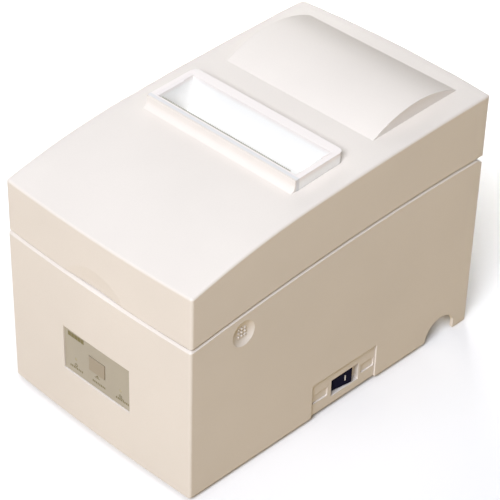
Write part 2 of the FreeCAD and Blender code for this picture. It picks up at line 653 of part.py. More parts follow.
def make_feed_button():
    body = new_body("feed_button")
    middle = "(button_low + button_high) / 2"
    extrude(body, "XZ", "panel_depth_y - label_thick - 0.35", "front_y + 3.6", lambda s: rectangle(
        s, "button_x - button_half", "button_x + button_half", "button_low", "button_high"))
    soften(body, "Fillet", "0.8", lambda b: b.YLength > 3)
    rods(body, "XZ", "front_y + 3.6", "-122.6", [("button_x", middle)], "1.6")
    return body


def make_indicator_lenses():
    body = new_body("indicator_lenses")
    lenses = [("lens_left", "lens_z"), ("lens_right", "lens_z")]
    rods(body, "XZ", "panel_depth_y - label_thick", "-119.4", lenses, "lens_r")
    rods(body, "XZ", "front_y + wall + 0.1", "-119.4", lenses, "lens_r + 0.9")
    return body


def make_panel_board():
    body = new_body("panel_board")
    middle = "(button_low + button_high) / 2"
    extrude(body, "XZ", "-118.9", "-117.3", lambda s: rectangle(s, "-30", "30", "44", "71"))
    extrude(body, "XZ", "-121.5", "-118.9", lambda s: rectangle(
        s, "button_x - 3", "button_x + 3", f"{middle} - 3", f"{middle} + 3"))
    rods(body, "XZ", "-130", "-110", [("-26", "67"), ("26", "67")], "screw_r + 0.1", cut=True)
    return body


# ---------------------------------------------------------------- power switch and connectors

def make_switch_plate():
    body = new_body("switch_plate")
    gap = "0.4"
    extrude(body, "YZ", "case_half - wall - 0.5", "case_half - plate_recess", lambda s: rectangle(
        s, f"plate_front + {gap}", f"plate_rear - {gap}", "case_foot + 0.4", f"plate_top - {gap}"))
    soften(body, "Fillet", "1.2", lambda b: b.ZMin > 28 and b.XLength > 1 and b.YLength < 0.1)
    extrude(body, "YZ", "well_floor - 1", "case_half - wall", lambda s: rectangle(
        s, "well_front - 1.2", "well_rear + 1.2", "well_low - 1.2", "well_high + 1.2"))
    extrude(body, "YZ", "well_floor", "90", lambda s: rectangle(
        s, "well_front", "well_rear", "well_low", "well_high"), cut=True)
    # The opening for the rocker, longer at the rear, where the rocker swings out
    extrude(body, "YZ", "70", "90", lambda s: rectangle(
        s, "rocker_y - rocker_half - 0.4", "rocker_y + rocker_half + 1.8",
        "rocker_z - rocker_tall / 2 - 0.3", "rocker_z + rocker_tall / 2 + 0.3"), cut=True)
    # Two blank windows, each a shallow step in the plate
    for front, rear in (("-22.0", "-8.2"), ("22.6", "34.4")):
        extrude(body, "YZ", "case_half - plate_recess - 0.9", "case_half", lambda s: rectangle(
            s, front, rear, "12.4", "19.2"), cut=True)
    return body


def make_power_switch_body():
    body = new_body("power_switch_body")
    front, rear = "rocker_y - 12", "rocker_y + 12"
    low, high = "rocker_z - 7.0", "rocker_z + 7.0"
    extrude(body, "YZ", "56", "well_floor - 1.1", lambda s: rectangle(s, front, rear, low, high))
    extrude(body, "YZ", "63", "80", lambda s: rectangle(
        s, "rocker_y - 10.6", "rocker_y + 10.6", "rocker_z - 5.8", "rocker_z + 5.8"), cut=True)
    rods(body, "XY", "rocker_z - 6.3", "rocker_z + 6.3", [("rocker_x", "rocker_y")], "1.25", cut=True)
    for i in (-1, 0, 1):
        extrude(body, "YZ", "49", "56", lambda s: rectangle(
            s, f"rocker_y + {i} * 6 - 0.4", f"rocker_y + {i} * 6 + 0.4", "rocker_z - 2.4", "rocker_z + 2.4"))
    return body


def make_power_rocker():
    """Drawn about its pivot, an upright pin: the rear half stands proud, the front half is pressed in."""
    body = new_body("power_rocker")
    half = "rocker_half"
    extrude(body, "XY", "-rocker_tall / 2", "rocker_tall / 2", lambda s: outline(s, [
        ("-3.0", f"-{half} + 1.6"),
        ("4.2", f"-{half} + 0.4"),
        ("5.2", "-1.2"),
        ("6.6", f"{half} - 0.6"),
        ("5.6", half),
        ("-2.0", f"{half} - 1.4"),
        ("-6.0", "0"),
    ]))
    rods(body, "XY", "-rocker_tall / 2 - 0.6", "rocker_tall / 2 + 0.6", [("0", "0")], "1.2")
    place(body, "rocker_x", "rocker_y", "rocker_z")
    return body


def make_connector_plate():
    body = new_body("connector_plate")
    extrude(body, "XZ", "bay_front", "bay_front + 1.2", lambda s: rectangle(s, "-74", "74", "4", "bay_top"))
    box(body, "-74", "74", "bay_front - 3.5", "bay_front + 0.6", "bay_top - 1.2", "bay_top")
    for left, right, low, high in (("-34", "34", "12.5", "27.5"), ("-63.5", "-48.5", "12.5", "24.5")):
        extrude(body, "XZ", "bay_front - 3", "bay_front + 3", lambda s: rectangle(s, left, right, low, high),
                cut=True)
    rods(body, "XZ", "bay_front - 3", "bay_front + 3", [("56", "19")], "7.2", cut=True)
    rods(body, "XZ", "bay_front - 3", "bay_front + 3", [("-40", "20"), ("40", "20")], "screw_r + 0.05",
         cut=True)
    return body


def make_interface_connector():
    body = new_body("interface_connector")
    extrude(body, "XZ", "68", "90", lambda s: rectangle(s, "-33.5", "33.5", "13", "27"))
    extrude(body, "XZ", "bay_front - 1.6", "bay_front - 0.1", lambda s: rectangle(
        s, "-44", "44", "11.5", "28.5"))
    extrude(body, "XZ", "80", "91", lambda s: outline(s, [
        ("-31", "15"), ("31", "15"), ("32.3", "25"), ("-32.3", "25")]), cut=True)
    extrude(body, "XZ", "80", "84", lambda s: rectangle(s, "-29", "29", "18.6", "21.4"))
    rods(body, "XZ", "70", "90", [("-40", "20"), ("40", "20")], "screw_r + 0.05", cut=True)
    return body


def make_power_inlet():
    body = new_body("power_inlet")
    extrude(body, "XZ", "70", "bay_front - 0.1", lambda s: rectangle(s, "48", "64", "18.0", "27.5"))
    rods(body, "XZ", "70", "bay_front + 3", [("56", "19")], "7.0")
    rods(body, "XZ", "74", "bay_front + 4", [("56", "19")], "5.6", cut=True)
    rods(body, "XZ", "74", "79", [("53.4", "18.4"), ("58.6", "18.4"), ("56", "22.4")], "0.6")
    return body


def make_drawer_jack():
    body = new_body("drawer_jack")
    extrude(body, "XZ", "68", "bay_front + 2", lambda s: rectangle(s, "-63.2", "-48.8", "12.8", "24.2"))
    extrude(body, "XZ", "72", "bay_front + 3", lambda s: outline(s, [
        ("-61", "15"), ("-51", "15"), ("-51", "20"), ("-53", "20"), ("-53", "22"), ("-59", "22"),
        ("-59", "20"), ("-61", "20")]), cut=True)
    return body


def make_main_board():
    body = new_body("main_board")
    top = "board_z + board_thick"
    box(body, "-board_half", "board_half", "board_front", "board_rear", "board_z", top)
    box(body, "-30", "30", "board_rear - 1", "67.9", "board_z", top)
    rods(body, "XY", "0", "30", BOARD_MOUNTS,
         "screw_r + 0.1", cut=True)
    for x, y, wide, deep, tall in ((-10, -40, 24, 24, 2.6), (18, -44, 12, 20, 2.6), (14, -8, 10, 26, 3),
                                   (-22, -4, 16, 9, 3), (-22, 14, 16, 9, 3), (-30, -76, 12, 40, 9)):
        box(body, f"{x - wide / 2}", f"{x + wide / 2}", f"{y - deep / 2}", f"{y + deep / 2}", top,
            f"{top} + {tall}")
    rods(body, "XY", top, f"{top} + 18", [("27", "12"), ("27", "26"), ("12", "20")], "6.2")
    return body


def make_heat_sink():
    body = new_body("heat_sink")
    top = "board_z + board_thick"
    box(body, "-16", "30", "-92", "-88.5", top, f"{top} + 24")
    for i in range(7):
        box(body, f"-15 + {i} * 7", f"-13.4 + {i} * 7", "-88.5", "-80", f"{top} + 1", f"{top} + 24")
    return body


def make_board_standoffs():
    body = new_body("board_standoffs")
    rods(body, "XY", "floor_low + floor_thick", "board_z", BOARD_MOUNTS, "3.2")
    rods(body, "XY", "8", "20", BOARD_MOUNTS, "screw_r + 0.05", cut=True)
    return body


# ---------------------------------------------------------------- mechanism frame

def make_mech_posts():
    body = new_body("mech_posts")
    rods(body, "XY", "floor_low + floor_thick", "mech_z - 3", MECHANISM_MOUNTS, "4.5")
    rods(body, "XY", "30", "50", MECHANISM_MOUNTS, "screw_r + 0.05", cut=True)
    return body


def make_mech_grommets():
    body = new_body("mech_grommets")
    rods(body, "XY", "mech_z - 3", "mech_z", MECHANISM_MOUNTS, "5.5")
    rods(body, "XY", "mech_z", "mech_z + sheet", MECHANISM_MOUNTS, "3.4")
    rods(body, "XY", "mech_z + sheet", "mech_z + sheet + 1.8", MECHANISM_MOUNTS, "5.5")
    rods(body, "XY", "30", "60", MECHANISM_MOUNTS, "screw_r + 0.05", cut=True)
    return body


def make_mech_base():
    body = new_body("mech_base")
    top = "mech_z + sheet"
    box(body, "-mech_half", "mech_half", "mech_front", "mech_rear", "mech_z", top)
    rods(body, "XY", "40", "60", MECHANISM_MOUNTS, "3.5", cut=True)
    box(body, "-22", "22", "-50", "-26", "40", "60", cut=True)
    box(body, "-40", "40", "mech_front", "mech_front + sheet", top, f"{top} + 10")
    return body


def make_side_frame(label, low, high, side):
    """A side plate of the mechanism: shaft holes, a bush hole and a lightening window."""
    body = new_body(label)
    extrude(body, "YZ", low, high, lambda s: outline(s, [
        ("mech_front", "mech_z"),
        ("mech_rear", "mech_z"),
        ("mech_rear", "96"),
        ("4", "frame_top"),
        ("-30", "frame_top"),
        ("-44", "100"),
        ("mech_front", "100"),
    ]))
    cut_low, cut_high = f"{low} - 2", f"{high} + 2"
    rods(body, "YZ", cut_low, cut_high, [("shaft_a_y", "shaft_z")], "shaft_a_r + 0.03", cut=True)
    rods(body, "YZ", cut_low, cut_high, [("shaft_b_y", "shaft_z")], "shaft_b_r + 0.03", cut=True)
    rods(body, "YZ", cut_low, cut_high, [("feed_y", "feed_z")], "feed_shaft_r + 2.03", cut=True)
    rods(body, "YZ", cut_low, cut_high, [("-24", "68")], "1.53", cut=True)
    extrude(body, "YZ", cut_low, cut_high, lambda s: rectangle(s, "-94", "-70", "62", "92"), cut=True)
    if side == "left":
        rods(body, "YZ", cut_low, cut_high, [("motor_y", "motor_z")], "3.2", cut=True)
        rods(body, "YZ", cut_low, cut_high, [("stud_y", "stud_z")], "1.53", cut=True)
    return body


def make_shaft(label, y, z, radius, low, high):
    """A plain round shaft across the mechanism, with small chamfers at its ends."""
    body = new_body(label)
    rods(body, "YZ", low, high, [(y, z)], radius)
    soften(body, "Chamfer", "0.4", lambda b: b.XLength < 0.01)
    return body


def make_platen_bar():
    body = new_body("platen_bar")
    extrude(body, "YZ", "-mech_half", "mech_half", lambda s: outline(s, [
        ("paper_y + 0.9", "print_z - 6"),
        ("paper_y + 6", "print_z - 8"),
        ("paper_y + 6", "print_z + 7"),
        ("paper_y + 0.9", "print_z + 5"),
    ]))
    return body


def make_feed_bushes():
    body = new_body("feed_bushes")
    for low, high, lip in (("-mech_half - sheet - 1", "-mech_half", "-mech_half"),
                           ("mech_half", "mech_half + sheet + 1", "mech_half - 1")):
        rods(body, "YZ", low, high, [("feed_y", "feed_z")], "feed_shaft_r + 2")
        rods(body, "YZ", lip, f"{lip} + 1", [("feed_y", "feed_z")], "feed_shaft_r + 3.2")
    rods(body, "YZ", "-80", "80", [("feed_y", "feed_z")], "feed_shaft_r + 0.04", cut=True)
    return body


def make_paper_guide():
    """A curved chute: down from the roll bay, under the feed roller and up into the nip."""
    body = new_body("paper_guide")
    extrude(body, "YZ", "-41", "41", lambda s: outline(s, [
        ("22.5", "119"),
        ("1.2", "90.8", "-9.6"),
        ("-8.0", "78.4", "-9.6"),
        ("-15.6", "82.2"),
        ("-17.4", "80.8", "12"),
        ("-8.0", "76.0", "12"),
        ("3.4", "88.6"),
        ("24.5", "117.6"),
    ]))
    for low, high in (("-mech_half", "-40"), ("40", "mech_half")):
        extrude(body, "YZ", low, high, lambda s: outline(s, [
            ("7", "95.5"), ("9", "94.1"), ("12.5", "99.2"), ("10.5", "100.6")]))
    return body


# ---------------------------------------------------------------- carriage and its belt

def make_carriage():
    """The sliding block that carries the print head; it hangs on both guide shafts."""
    body = new_body("carriage")
    left, right = "carriage_x - carriage_half", "carriage_x + carriage_half"
    extrude(body, "YZ", left, right, lambda s: outline(s, [
        ("shaft_b_y - 5.5", "shaft_z - 5.5"),
        ("shaft_a_y + 6.5", "shaft_z - 6.5"),
        ("shaft_a_y + 6.5", "shaft_z + 8"),
        ("shaft_b_y - 5.5", "shaft_z + 8"),
    ]))
    rods(body, "YZ", left, right, [("shaft_a_y", "shaft_z")], "shaft_a_r + 1.52", cut=True)
    rods(body, "YZ", left, right, [("shaft_b_y", "shaft_z")], "shaft_b_r + 0.06", cut=True)
    box(body, "carriage_x - 9", "carriage_x + 9", "shaft_b_y + 6", "shaft_a_y - 8", "70", "84", cut=True)
    # Belt clamp on the front, around the inner run
    clamp_left, clamp_right = "carriage_x - 3.5", "carriage_x + 3.5"
    run = "belt_y + pulley_r"
    box(body, clamp_left, clamp_right, f"{run} - 2.6", "shaft_b_y - 5.5", "belt_z - 4.6", "belt_z + 9")
    box(body, clamp_left, clamp_right, f"{run} - 0.3", f"{run} + belt_thick + 0.3", "belt_z - 3.2",
        "belt_z + 3.2", cut=True)
    return body


def make_carriage_bushes():
    body = new_body("carriage_bushes")
    for low, high in (("carriage_x - carriage_half", "carriage_x - carriage_half + 8"),
                      ("carriage_x + carriage_half - 8", "carriage_x + carriage_half")):
        rods(body, "YZ", low, high, [("shaft_a_y", "shaft_z")], "shaft_a_r + 1.5")
    rods(body, "YZ", "-80", "80", [("shaft_a_y", "shaft_z")], "shaft_a_r + 0.04", cut=True)
    return body


def make_print_head():
    body = new_body("print_head")
    low = "shaft_z + 8"
    box(body, "carriage_x - 15", "carriage_x + 15", "-66", "-38", low, "113")
    for i in range(5):
        box(body, "carriage_x - 16", "carriage_x + 16", f"-64 + {i} * 5.4", f"-61.4 + {i} * 5.4", "96", "114",
            cut=True)
    box(body, "carriage_x - 13", "carriage_x + 13", "-65", "-39", low, "112")
    extrude(body, "XY", "print_z - 5", "print_z + 5", lambda s: outline(s, [
        ("carriage_x - 11", "-38"),
        ("carriage_x + 11", "-38"),
        ("carriage_x + 3", "paper_y - 3.6"),
        ("carriage_x + 3", "paper_y - 2"),
        ("carriage_x - 3", "paper_y - 2"),
        ("carriage_x - 3", "paper_y - 3.6"),
    ]))
    return body


def make_carriage_belt():
    body = new_body("carriage_belt")
    low, high = "belt_z - belt_tall / 2", "belt_z + belt_tall / 2"

    def loop(sketch, radius):
        outline(sketch, [
            ("-pulley_x", f"belt_y - ({radius})"),
            ("pulley_x", f"belt_y - ({radius})", f"{radius} + 0.0001"),
            ("pulley_x", f"belt_y + ({radius})"),
            ("-pulley_x", f"belt_y + ({radius})", f"{radius} + 0.0001"),
        ])

    def draw(sketch):
        loop(sketch, "pulley_r + belt_thick")
        loop(sketch, "pulley_r")
    extrude(body, "XY", low, high, draw)
    return body


def make_pulley(label):
    """A flanged pulley drawn about an upright axis; its hub leaves the belt a running gap."""
    body = new_body(label)
    rods(body, "XY", "-belt_tall / 2 - 1.2", "belt_tall / 2 + 1.2", [("0", "0")], "pulley_r - 0.1")
    for low, high in (("-belt_tall / 2 - 1.2", "-belt_tall / 2 - 0.3"), ("belt_tall / 2 + 0.3",
                                                                         "belt_tall / 2 + 1.2")):
        rods(body, "XY", low, high, [("0", "0")], "pulley_r + 1.5")
    return body


def make_drive_pulley():
    body = make_pulley("drive_pulley")
    rods(body, "XY", "-7.4", "-belt_tall / 2 - 1.2", [("0", "0")], "1.5")
    rods(body, "XY", "belt_tall / 2 + 1.2", "7", [("0", "0")], "1.5")
    place(body, "-pulley_x", "belt_y", "belt_z")
    return body


def make_idler_pulley():
    """The driven pulley; the splined spindle on top of it winds the ribbon."""
    body = make_pulley("idler_pulley")
    rods(body, "XY", "belt_tall / 2", "belt_tall / 2 + 22", [("0", "0")], "3.0")
    box(body, "-4.2", "4.2", "-0.7", "0.7", "belt_tall / 2 + 13", "belt_tall / 2 + 20")
    box(body, "-0.7", "0.7", "-4.2", "4.2", "belt_tall / 2 + 13", "belt_tall / 2 + 20")
    rods(body, "XY", "-10", "belt_tall / 2 + 14", [("0", "0")], "1.56", cut=True)
    place(body, "pulley_x", "belt_y", "belt_z")
    return body


def make_ribbon_knob():
    """Winding knob on top of the cassette, with the ribbon roller's socket under it."""
    body = new_body("ribbon_knob")
    rods(body, "XY", "-8.5", "1.2", [("0", "0")], "6.4")
    rods(body, "XY", "1.2", "6.5", [("0", "0")], "8.5")
    box(body, "-7.4", "7.4", "-1.2", "1.2", "6.5", "10")
    rods(body, "XY", "-9", "0", [("0", "0")], "4.6", cut=True)
    place(body, "pulley_x", "belt_y", "114")
    return body


def make_idler_axle():
    body = new_body("idler_axle")
    rods(body, "XY", "mech_z + sheet", "belt_z - 5", [("pulley_x", "belt_y")], "5.0")
    rods(body, "XY", "belt_z - 5", "belt_z + 13", [("pulley_x", "belt_y")], "1.5")
    return body


def make_carriage_motor():
    body = new_body("carriage_motor")
    rods(body, "XY", "mech_z + sheet", "belt_z - 8", [("-pulley_x", "belt_y")], "motor_r")
    soften(body, "Fillet", "1.5", lambda b: b.ZMin > 67 and b.XLength > 20)
    rods(body, "XY", "belt_z - 8", "belt_z - 7.5", [("-pulley_x", "belt_y")], "4.5")
    return body


# ---------------------------------------------------------------- ribbon cassette

def make_ribbon_cassette():
    """A wide box in front of the head, with an arm down each side that carries the ribbon past it."""
    body = new_body("ribbon_cassette")
    extrude(body, "XY", "100.5", "113", lambda s: outline(s, [
        ("-57", "-103"),
        ("57", "-103"),
        ("58", "-18"),
        ("52", "-18"),
        ("50.5", "-70"),
        ("-50.5", "-70"),
        ("-52", "-18"),
        ("-58", "-18"),
    ]))
    box(body, "-54", "54", "-100", "-72.5", "102.5", "120", cut=True)
    for left, right in (("-54", "-53"), ("53", "54")):
        box(body, left, right, "-73", "-10", "102.5", "120", cut=True)
    rods(body, "XY", "95", "104", [("pulley_x", "belt_y")], "6.8", cut=True)
    return body


def make_cassette_lid():
    body = new_body("cassette_lid")
    box(body, "-57", "57", "-103", "-70.5", "113", "114.4")
    rods(body, "XY", "110", "120", [("pulley_x", "belt_y")], "6.8", cut=True)
    return body


def make_ink_ribbon():
    """The inked band: it crosses in front of the head, runs back inside both arms and ends in the
    folded store inside the cassette."""
    body = new_body("ink_ribbon")
    low, high = "print_z - 3.2", "print_z + 6"
    box(body, "-50", "32", "-97", "-75", low, high)
    box(body, "-53.6", "53.6", "-17.1", "-16.9", low, high)
    for left, right in (("-53.6", "-53.4"), ("53.4", "53.6")):
        box(body, left, right, "-90.2", "-16.9", low, high)
    box(body, "-53.6", "-49", "-90.2", "-90", low, high)
    box(body, "31", "53.6", "-90.2", "-90", low, high)
    return body


# ---------------------------------------------------------------- paper feed

def make_feed_roller():
    body = new_body("feed_roller")
    for i in range(4):
        low = f"-37 + {i} * 20"
        rods(body, "YZ", low, f"{low} + 14", [("feed_y", "feed_z")], "feed_roller_r")
    rods(body, "YZ", "-80", "80", [("feed_y", "feed_z")], "feed_shaft_r + 0.02", cut=True)
    return body


def make_gear(label, teeth, thick, bore, second=None):
    """A spur gear drawn about an axis along X, with straight-sided teeth thin enough to run freely.
    The first tooth points along +Y. A second, smaller gear of its own tooth count may sit beside it."""
    body = new_body(label)
    layers = [("0", thick, teeth)]
    if second:
        layers.append((f"-({second[1]})", "0", second[0]))
    for low, high, count in layers:
        pitch = f"(gear_module * {count} / 2)"
        rods(body, "YZ", low, high, [("0", "0")], f"{pitch} - 1.2 * gear_module")
        tooth = extrude(body, "YZ", low, high, lambda s: outline(s, [
            (f"{pitch} - 1.5 * gear_module", "-0.90 * gear_module"),
            (f"{pitch} + 0.85 * gear_module", "-0.32 * gear_module"),
            (f"{pitch} + 0.85 * gear_module", "0.32 * gear_module"),
            (f"{pitch} - 1.5 * gear_module", "0.90 * gear_module"),
        ]))
        pattern = body.newObject("PartDesign::PolarPattern", f"{label}_teeth")
        pattern.Originals = [tooth]
        x_axis = [o for o in body.Origin.OriginFeatures if o.Role == "X_Axis"][0]
        pattern.Axis = (x_axis, [""])
        pattern.Angle = 360.0
        pattern.setExpression("Occurrences", formula(count))
        body.Tip = pattern
        doc.recompute()
    rods(body, "YZ", "-30", "30", [("0", "0")], bore, cut=True)
    return body


def mesh_angle(from_y, from_z, to_y, to_z):
    """Direction from one gear centre to another, in degrees from +Y towards +Z."""
    return math.degrees(math.atan2(value(to_z) - value(from_z), value(to_y) - value(from_y)))


def make_gears():
    to_stud = mesh_angle("motor_y", "motor_z", "stud_y", "stud_z")
    to_feed = mesh_angle("stud_y", "stud_z", "feed_y", "feed_z")
    large_turn = to_stud + 180 + 180 / value("large_teeth")
    small_pitch = 360 / value("small_teeth")
    small_phase = (large_turn - to_feed) % small_pitch
    feed_pitch = 360 / value("feed_teeth")
    feed_turn = to_feed + 180 + feed_pitch / 2 + small_phase / small_pitch * feed_pitch
    pinion = make_gear("motor_pinion", "pinion_teeth", "4", "0.99")
    rods(pinion, "YZ", "-8", "4", [("0", "0")], "1.0")
    place(pinion, "-mech_half - sheet - 5", "motor_y", "motor_z", to_stud)
    reduction = make_gear("reduction_gear", "large_teeth", "3", "1.56", ("small_teeth", "4"))
    place(reduction, "-mech_half - sheet - 4.5", "stud_y", "stud_z", large_turn)
    gear = make_gear("feed_gear", "feed_teeth", "3", "feed_shaft_r + 0.02")
    place(gear, "-mech_half - sheet - 8", "feed_y", "feed_z", feed_turn)


def make_reduction_stud():
    body = new_body("reduction_stud")
    rods(body, "YZ", "-mech_half - sheet - 9.4", "-mech_half", [("stud_y", "stud_z")], "1.5")
    rods(body, "YZ", "-mech_half", "-mech_half + 1.5", [("stud_y", "stud_z")], "3.0")
    return body


def make_feed_motor():
    body = new_body("feed_motor")
    rods(body, "YZ", "-mech_half", "-mech_half + 17", [("motor_y", "motor_z")], "motor_r")
    soften(body, "Fillet", "1.2", lambda b: b.XMin > -44 and b.YLength > 20)
    rods(body, "YZ", "-mech_half - 1", "-mech_half + 12", [("motor_y", "motor_z")], "1.6", cut=True)
    return body


def make_pressure_arm():
    """A rocking holder that presses the small roller against the feed roller."""
    body = new_body("pressure_arm")
    roller_y = "feed_y - feed_roller_r - press_r - 0.3"
    for low, high in (("-42", "-40"), ("40", "42")):
        extrude(body, "YZ", low, high, lambda s: outline(s, [
            ("-27", "65"), ("-21", "65"), ("-21", "75"), (f"{roller_y} + 2.6", "85"),
            (f"{roller_y} + 2.6", "91"), (f"{roller_y} - 3.4", "91"), ("-25.4", "80"), ("-25.4", "75"),
            ("-27", "72.5")]))
    box(body, "-40.5", "40.5", "-26.9", "-25.7", "65", "73.5")
    rods(body, "YZ", "-60", "60", [("-24", "68")], "1.56", cut=True)
    rods(body, "YZ", "-60", "60", [(roller_y, "feed_z")], "1.25", cut=True)
    return body


def make_pressure_roller():
    body = new_body("pressure_roller")
    place_y = "feed_y - feed_roller_r - press_r - 0.3"
    rods(body, "YZ", "-38.5", "38.5", [(place_y, "feed_z")], "press_r")
    rods(body, "YZ", "-43", "43", [(place_y, "feed_z")], "1.2")
    return body


def make_pressure_springs():
    """Two flat springs on the frame's floor that push the arm towards the feed roller."""
    body = new_body("pressure_springs")
    for low, high in (("-31", "-25"), ("25", "31")):
        extrude(body, "YZ", low, high, lambda s: outline(s, [
            ("-60", "mech_z + sheet"), ("-53", "mech_z + sheet"), ("-53", "mech_z + sheet + 0.5"),
            ("-36.4", "60"), ("-27.2", "71"), ("-27.6", "71.4"), ("-37", "60.6"),
            ("-53.6", "mech_z + sheet + 1"), ("-60", "mech_z + sheet + 1")]))
    return body


# ---------------------------------------------------------------- paper roll bay

def make_paper_tub():
    body = new_body("paper_tub")
    outer = "tub_r + tub_thick"
    reach = f"sqrt(({outer})^2 - (roll_z - tub_top)^2)"
    extrude(body, "YZ", "-tub_half - tub_thick", "tub_half + tub_thick", lambda s: outline(s, [
        (f"roll_y - {reach}", "tub_top", outer),
        ("roll_y", f"roll_z - ({outer})", outer),
        (f"roll_y + {reach}", "tub_top"),
    ]))
    rods(body, "YZ", "-tub_half", "tub_half", [("roll_y", "roll_z")], "tub_r", cut=True)
    for x in ("-38.5", "38.5"):
        for y in ("roll_y - 26", "roll_y + 3"):
            box(body, f"{x} - 4", f"{x} + 4", f"{y} - 4", f"{y} + 4", "floor_low + floor_thick",
                f"roll_z - sqrt(tub_r^2 - ({y} - roll_y - 4)^2) - 1")
    # Window in the left end wall for the near-end lever
    extrude(body, "YZ", "-tub_half - 3", "-tub_half + 1", lambda s: rectangle(
        s, "roll_y - 5", "roll_y + 5", "97", "107"), cut=True)
    return body


def make_near_end_lever():
    """A lever whose nose reaches through the tub's wall and drops when the roll has run down."""
    body = new_body("near_end_lever")
    box(body, "-tub_half - 6", "-tub_half - 4", "roll_y - 24", "roll_y + 4", "99", "105")
    extrude(body, "XY", "99", "105", lambda s: outline(s, [
        ("-tub_half - 4", "roll_y - 4"), ("-tub_half + 2.5", "roll_y - 1"), ("-tub_half + 2.5", "roll_y + 2"),
        ("-tub_half - 4", "roll_y + 4")]))
    rods(body, "XY", "98", "106", [("-tub_half - 5", "roll_y - 24")], "2.6")
    rods(body, "XY", "90", "110", [("-tub_half - 5", "roll_y - 24")], "1.06", cut=True)
    return body


def make_near_end_bracket():
    body = new_body("near_end_bracket")
    x = "-tub_half - 5"
    y = "roll_y - 24"
    box(body, f"{x} - 4", "-tub_half - tub_thick", f"{y} - 4", f"{y} + 4", "94", "97.6")
    rods(body, "XY", "97.6", "108", [(x, y)], "1.0")
    box(body, f"{x} - 8", f"{x} - 3.4", f"{y} - 4", "roll_y + 6", "94", "97.6")
    box(body, f"{x} - 8", f"{x} - 5.4", "roll_y - 6", "roll_y + 6", "97.6", "108")
    return body


def make_hinge_pins():
    body = new_body("hinge_pins")
    for low, high in (("-knuckle_out - 4.4", "-knuckle_in + 4.4"), ("knuckle_in - 4.4", "knuckle_out + 4.4")):
        rods(body, "YZ", low, high, [("hinge_y", "hinge_z")], "hinge_pin_r")
    return body


def build_all():
    make_lower_case()
    make_top_cover()
    make_window_insert()
    make_tear_bar()
    make_hinge_pins()
    make_floor_plate()
    make_rubber_feet()
    make_case_screws()
    make_panel_label()
    make_feed_button()
    make_indicator_lenses()
    make_panel_board()
    make_switch_plate()
    make_power_switch_body()
    make_power_rocker()
    make_connector_plate()
    make_interface_connector()
    make_power_inlet()
    make_drawer_jack()
    make_main_board()
    make_heat_sink()
    make_board_standoffs()
    make_m3_screws()
    make_mech_posts()
    make_mech_grommets()
    make_mechanism_screws()
    make_mech_base()
    make_side_frame("left_side_frame", "-mech_half - sheet", "-mech_half", "left")
    make_side_frame("right_side_frame", "mech_half", "mech_half + sheet", "right")
    ends = ("-mech_half - sheet - 1", "mech_half + sheet + 1")
    make_shaft("main_guide_shaft", "shaft_a_y", "shaft_z", "shaft_a_r", *ends)
    make_shaft("front_guide_shaft", "shaft_b_y", "shaft_z", "shaft_b_r", *ends)
    make_shaft("pressure_pivot_shaft", "-24", "68", "1.5", *ends)
    make_shaft("feed_shaft", "feed_y", "feed_z", "feed_shaft_r", "-mech_half - sheet - 8.6",
               "mech_half + sheet + 2")
    make_platen_bar()
    make_feed_bushes()
    make_paper_guide()
    make_carriage()
    make_carriage_bushes()
    make_print_head()
    make_carriage_belt()
    make_drive_pulley()
    make_idler_pulley()
    make_ribbon_knob()
    make_idler_axle()
    make_carriage_motor()
    make_ribbon_cassette()
    make_cassette_lid()
    make_ink_ribbon()
    make_feed_roller()
    make_gears()
    make_reduction_stud()
    make_feed_motor()
    make_pressure_arm()
    make_pressure_roller()
    make_pressure_springs()
    make_paper_tub()
    make_near_end_lever()
    make_near_end_bracket()


build_all()

doc.recompute()
os.makedirs("parts", exist_ok=True)
for item in doc.Objects:
    if "Invalid" in item.State or "Error" in item.State:
        raise ValueError(f"{item.Label} failed: {item.State}")
for body in subparts:
    shape = body.Shape
    if shape.isNull() or not shape.isValid():
        raise ValueError(f"{body.Label} has no valid shape")
    shape.exportStep(f"parts/{body.Label}.step")
    print(f"{body.Label:24s} solids {len(shape.Solids)} volume {shape.Volume:10.1f}")
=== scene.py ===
import math

import bmesh
import bpy
from mathutils import Matrix, Vector


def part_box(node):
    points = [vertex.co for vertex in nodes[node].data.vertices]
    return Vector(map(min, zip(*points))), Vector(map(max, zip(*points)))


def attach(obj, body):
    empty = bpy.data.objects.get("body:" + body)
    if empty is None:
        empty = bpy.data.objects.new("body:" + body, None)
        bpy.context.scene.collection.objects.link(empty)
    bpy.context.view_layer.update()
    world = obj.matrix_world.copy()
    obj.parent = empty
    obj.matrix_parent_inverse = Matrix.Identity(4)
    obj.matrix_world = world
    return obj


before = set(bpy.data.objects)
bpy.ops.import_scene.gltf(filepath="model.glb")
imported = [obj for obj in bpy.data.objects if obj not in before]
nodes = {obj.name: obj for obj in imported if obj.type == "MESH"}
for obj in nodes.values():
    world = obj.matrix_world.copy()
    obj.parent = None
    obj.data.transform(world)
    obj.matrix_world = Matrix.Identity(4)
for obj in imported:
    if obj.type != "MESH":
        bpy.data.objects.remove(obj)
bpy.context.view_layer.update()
scene = bpy.context.scene

MM = 0.001
# The colour sockets of a Mix node, which share their names with its other kinds of socket.
MIX_FIRST, MIX_SECOND, MIX_RESULT = 6, 7, 2


# ---------------------------------------------------------------- materials

